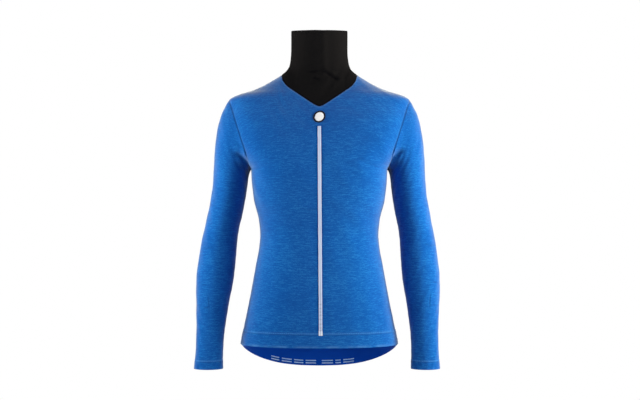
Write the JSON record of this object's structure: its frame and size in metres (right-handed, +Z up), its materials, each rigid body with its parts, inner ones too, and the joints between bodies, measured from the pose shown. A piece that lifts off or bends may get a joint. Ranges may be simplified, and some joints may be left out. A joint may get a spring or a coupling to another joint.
{
  "type": "long-sleeve base layer",
  "caption": "Close-fitting long-sleeve knit base layer with a high tube collar that runs into a V on the chest, and a dropped tail. Hollow, as worn.",
  "frame": {"origin": "on the garment's centre line, level with the points where the shoulder seams meet the collar, inside the base of the neck", "axes": "+Z up the wearer, -Y the way the front faces, +X towards the wearer's left"},
  "size_m": [0.5737, 0.2343, 0.8064],
  "materials": {
    "blue_knit": "matte fine-gauge heathered jersey",
    "black_knit": "smooth matte stretch jersey",
    "pale_tape": "smooth bonded tape",
    "badge_ink": "dark heat transfer",
    "badge_white": "white heat transfer"
  },
  "bodies": {
    "root": {"front": "blue_knit", "back": "blue_knit", "sleeve_left": "blue_knit", "sleeve_right": "blue_knit", "collar": "black_knit", "centre_stripe": "pale_tape", "badge_rim": "badge_ink", "badge_face": "badge_white"}
  },
  "joints": []
}
